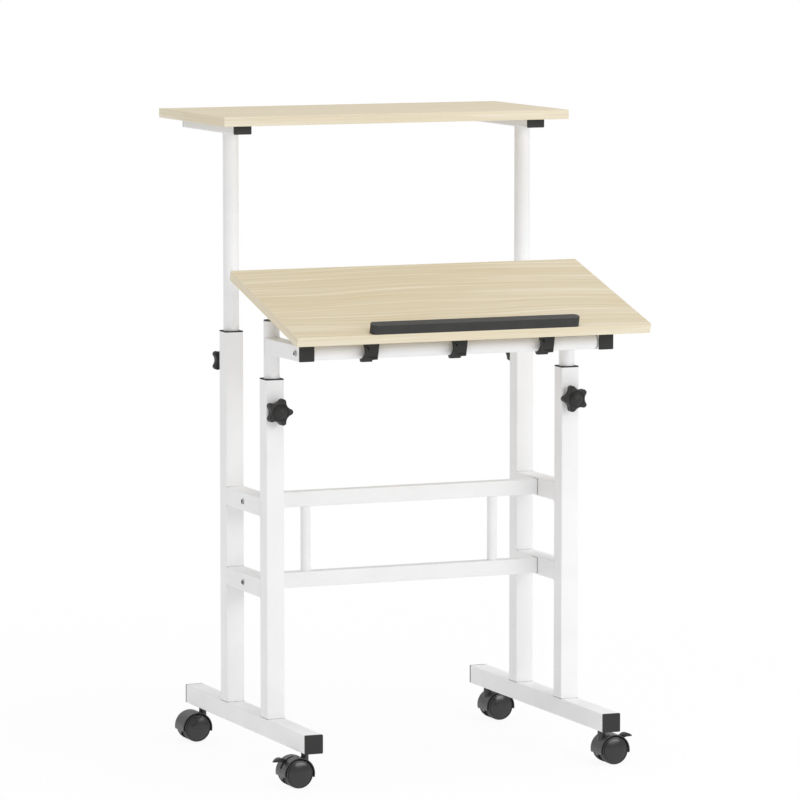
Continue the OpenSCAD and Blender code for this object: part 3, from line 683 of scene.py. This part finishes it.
def openTree(name, inputs, output):
    graph = Graph(bpy.data.node_groups.new(name, "GeometryNodeTree"))
    sockets = graph.tree.interface
    named = {}
    for label, kind in inputs.items():
        made = sockets.new_socket(label, in_out="INPUT", socket_type="NodeSocket" + kind)
        named[label] = made.identifier
    sockets.new_socket(output, in_out="OUTPUT", socket_type="NodeSocketGeometry")
    given = graph.node("NodeGroupInput").outputs
    return graph, {label: Wire(graph, given[label]) for label in inputs}, named


def closeTree(graph, geometry, material):
    finished = graph.wire("GeometryNodeSetMaterial", 0, {},
                          {"Geometry": geometry, "Material": material})
    graph.node("NodeGroupOutput", {}, {0: finished})


def makeBeadTree():
    graph, inputs, named = openTree("weld beads", {
        "Path": "Geometry", "Bead radius": "Float", "Spacing": "Float", "Seed": "Int",
        "Material": "Material",
    }, "Beads")
    curve = graph.wire("GeometryNodeMeshToCurve", 0, {}, {"Mesh": inputs["Path"]})
    points = graph.wire("GeometryNodeResampleCurve", 0, {"mode": "LENGTH"},
                        {"Curve": curve, "Length": inputs["Spacing"]})
    drop = graph.wire("GeometryNodeMeshIcoSphere", 0, {}, {
        "Radius": inputs["Bead radius"], "Subdivisions": beadLook["subdivisions"],
    })
    size = graph.wire("FunctionNodeRandomValue", 1, {"data_type": "FLOAT"},
                      {2: beadLook["least"], 3: beadLook["most"], 8: inputs["Seed"]})
    drops = graph.wire("GeometryNodeInstanceOnPoints", 0, {},
                       {"Points": points, "Instance": drop, "Scale": size})
    real = graph.wire("GeometryNodeRealizeInstances", 0, {}, {0: drops})
    smooth = graph.wire("GeometryNodeSetShadeSmooth", 0, {}, {0: real})
    closeTree(graph, smooth, inputs["Material"])
    return graph.tree, named


# a thin grey tube along each path: a line of painted shadow
def makeShadowLineTree():
    graph, inputs, named = openTree("painted joint shadow lines", {
        "Path": "Geometry", "Shadow line radius": "Float", "Material": "Material",
    }, "Shadow lines")
    curve = graph.wire("GeometryNodeMeshToCurve", 0, {}, {"Mesh": inputs["Path"]})
    profile = graph.wire("GeometryNodeCurvePrimitiveCircle", 0, {"mode": "RADIUS"},
                         {"Resolution": shadowLineLook["corners"], "Radius": inputs["Shadow line radius"]})
    tube = graph.wire("GeometryNodeCurveToMesh", 0, {},
                      {"Curve": curve, "Profile Curve": profile, "Fill Caps": True})
    closeTree(graph, tube, inputs["Material"])
    return graph.tree, named


def arc(centre, first, second, radius, start=0, stop=fullTurn):
    angles = [start + (stop - start) * step / arcSteps for step in range(arcSteps + 1)]
    return [centre + radius * (math.cos(angle) * first + math.sin(angle) * second)
            for angle in angles]


def tubeAxis(nodeName):
    # middle and radius of an upright round tube
    low, high = boxOf(nodeName)
    return (low + high) / 2, (high.x - low.x) / 2


def tubeEnd(centre, first, second, wide, high):
    # corners of a square tube's end, sunk a little below its faces
    wide, high = wide / 2 - shadowLineLook["sunk"], high / 2 - shadowLineLook["sunk"]
    return [centre + first * wide * u + second * high * v
            for u, v in ((-1, -1), (1, -1), (1, 1), (-1, 1), (-1, -1))]


right, back, up = Vector((1, 0, 0)), Vector((0, 1, 0)), Vector((0, 0, 1))
seams = {body: [] for body in ("base", "desk_frame", "shelf_frame")}
# paths of the painted shadow lines: in the joints, and around the crossbars' ends
shadowLines = {body: [] for body in ("base", "tilting_desktop")}
gapShadows = []

for end, side in fourCorners:
    low, high = boxOf(f"column_{end}_{side}")
    tube = high.x - low.x
    middle = (low + high) / 2
    shadowLines["base"].append(tubeEnd(Vector((middle.x, middle.y, low.z)), right, back, tube, tube))
    nut = Vector(joints[f"knob_{end}_{side}_turn"]["pos_m"])
    seams["base"].append(arc(nut, right, up, beadLook["nutRadius"]))
    inner = high.y if end == "front" else low.y
    for y, z in crossbarAxes:
        rail = tubeEnd(Vector((middle.x, inner, z)), right, up, tube, tube)
        shadowLines["base"] += [rail[:2], rail[2:4]]
for nodeName in crossbars:
    low, high = boxOf(nodeName)
    middle = (low + high) / 2
    for x in (low.x, high.x):
        gapShadows.append(tubeEnd(Vector((x, middle.y, middle.z)), back, up,
                            high.y - low.y, high.z - low.z))

low, high = boxOf("crossbar_struts")
radius = (high.y - low.y) / 2
for z in (low.z, high.z):
    for x in (low.x + radius, high.x - radius):
        centre = Vector((x, (low.y + high.y) / 2, z))
        seams["base"].append(arc(centre, right, back, radius))

for side in sides:
    low, high = boxOf(f"arm_{side}")
    axis, radius = tubeAxis(f"desk_post_{side}")
    half = (high.x - low.x) / 2
    flank = math.acos(half / radius)   # where the arm's sides meet the round post
    for z in (low.z, high.z):
        centre = Vector((axis.x, axis.y, z))
        seams["desk_frame"].append(arc(centre, right, -back, radius, flank, math.pi - flank))
    for x in (axis.x - half, axis.x + half):
        y = axis.y - radius * math.sin(flank)
        seams["desk_frame"].append([Vector((x, y, low.z)), Vector((x, y, high.z))])
    axis, radius = tubeAxis(f"shelf_post_{side}")
    underside = boxOf(f"shelf_bracket_{side}")[0].z
    seams["shelf_frame"].append(arc(Vector((axis.x, axis.y, underside)), right, back, radius))

low, high = boxOf("pivot_bar")
for x in (low.x, high.x):
    centre = Vector((x, (low.y + high.y) / 2, (low.z + high.z) / 2))
    shadowLines["tilting_desktop"].append(arc(centre, back, up, (high.z - low.z) / 2 - shadowLineLook["sunk"]))


def layPaths(name, body, paths, tree, values, material):
    # one mesh of edges, which the node group turns into beads or into lines of painted shadow
    group, named = tree
    points, edges = [], []
    for path in paths:
        edges += [(len(points) + i, len(points) + i + 1) for i in range(len(path) - 1)]
        points += path
    skeleton = bpy.data.meshes.new(name)
    skeleton.from_pydata(points, edges, [])
    settings = {"node_group": group}
    for label, value in {**values, "Material": material}.items():
        settings[named[label]] = value
    laid = meshWithModifier(name, skeleton, "NODES", settings)
    addPiece(name, laid, body, material)


beadTree, shadowLineTree = makeBeadTree(), makeShadowLineTree()
beadValues = {"Bead radius": beadLook["radius"], "Spacing": beadLook["spacing"],
              "Seed": beadLook["seed"]}
shadowLineValues = {"Shadow line radius": shadowLineLook["radius"]}
for body, paths in seams.items():
    layPaths("welds_" + body, body, paths, beadTree, beadValues, whiteSteel)
# lines of painted shadow in the joints and in the gaps at the crossbars' ends
for body, paths in shadowLines.items():
    layPaths("painted_shadow_lines_" + body, body, paths, shadowLineTree, shadowLineValues, plastics["joint"])
layPaths("crossbar_gap_shadows", "base", gapShadows, shadowLineTree, {"Shadow line radius": shadowLineLook["gap"]},
         plastics["joint"])
print("weld beads and painted joint shadow lines laid")


roomLook = {"floor": linear(244, 244, 244), "roughness": 0.8, "size": 40.0, "near": 0.92,
            "nearRadius": 0.5, "farRadius": 2.4, "white": 1.0}


def makeFloor():
    # the camera sees the floor fade from shaded near the desk to plain white further out
    look = roomLook
    half = look["size"] / 2
    outline = [(-half, -half, 0), (half, -half, 0), (half, half, 0), (-half, half, 0)]
    mesh = bpy.data.meshes.new("floor")
    mesh.from_pydata(outline, [], [(0, 1, 2, 3)])
    floor = bpy.data.objects.new("floor", mesh)
    bpy.context.scene.collection.objects.link(floor)
    pale = Shade("pale floor", {"Roughness": look["roughness"], "Base Color": look["floor"]})
    white = pale.node("ShaderNodeEmission", {}, {"Strength": look["white"]})
    rays = pale.node("ShaderNodeLightPath").outputs
    seen = Wire(pale, rays["Is Camera Ray"]) + Wire(pale, rays["Is Glossy Ray"])
    distance = pale.wire("ShaderNodeVectorMath", "Value", {"operation": "LENGTH"},
                         {0: pale.place})
    share = pale.wire("ShaderNodeMapRange", "Result", {}, {
        "Value": distance, "From Min": look["nearRadius"], "From Max": look["farRadius"],
        "To Min": look["near"], "To Max": 1.0,
    })
    pale.mixToOutput(seen * share, pale.surface, white, "Material Output")
    mesh.materials.append(pale.material)


makeFloor()

worldLook = {"air": linear(252, 252, 252), "strength": 0.742,
             "backdrop": linear(255, 255, 255), "backdropStrength": 1.0}
world = bpy.data.worlds.new("studio")
bpy.context.scene.world = world
world.use_nodes = True
sky = Graph(world.node_tree)
air = sky.tree.nodes["Background"]
sky.give(air.inputs["Color"], worldLook["air"])
sky.give(air.inputs["Strength"], worldLook["strength"])
backdrop = sky.node("ShaderNodeBackground", {}, {
    "Color": worldLook["backdrop"], "Strength": worldLook["backdropStrength"],
})
cameraRay = sky.wire("ShaderNodeLightPath", "Is Camera Ray")
sky.mixToOutput(cameraRay, air, backdrop, "World Output")

lamps = {
    "front": {"at": (1.4, -3.6, 1.75), "aim": (0, 0, 0.4), "size": (2.6, 1.2), "power": 32},
    "top": {"at": (0.3, -0.6, 3.6), "aim": (0, 0, 0.6), "size": (1.6, 1.6), "power": 40},
}
for name, lamp in lamps.items():
    light = bpy.data.lights.new(name, "AREA")
    light.energy = lamp["power"]
    light.shape = "RECTANGLE"
    light.size, light.size_y = lamp["size"]
    holder = bpy.data.objects.new(name, light)
    holder.location = lamp["at"]
    shining = Vector(lamp["aim"]) - Vector(lamp["at"])
    holder.rotation_euler = shining.to_track_quat("-Z", "Y").to_euler()
    bpy.context.scene.collection.objects.link(holder)

cameraLook = {"azimuth": -22.7655, "pitch": 6.25141, "at": (-3.20045, -7.62150, 1.48068),
              "lens": 232.13, "sensor": 36, "clip": (0.1, 60)}
around, down = math.radians(cameraLook["azimuth"]), math.radians(cameraLook["pitch"])
ahead = Vector((-math.sin(around) * math.cos(down), math.cos(around) * math.cos(down),
                -math.sin(down)))
cameraData = bpy.data.cameras.new("camera")
cameraData.lens = cameraLook["lens"]
cameraData.sensor_width = cameraLook["sensor"]
cameraData.clip_start, cameraData.clip_end = cameraLook["clip"]
camera = bpy.data.objects.new("camera", cameraData)
camera.location = cameraLook["at"]
camera.rotation_euler = ahead.to_track_quat("-Z", "Y").to_euler()
bpy.context.scene.collection.objects.link(camera)
bpy.context.scene.camera = camera
bpy.context.scene.view_settings.view_transform = "Standard"
print("room, lamps and camera set")
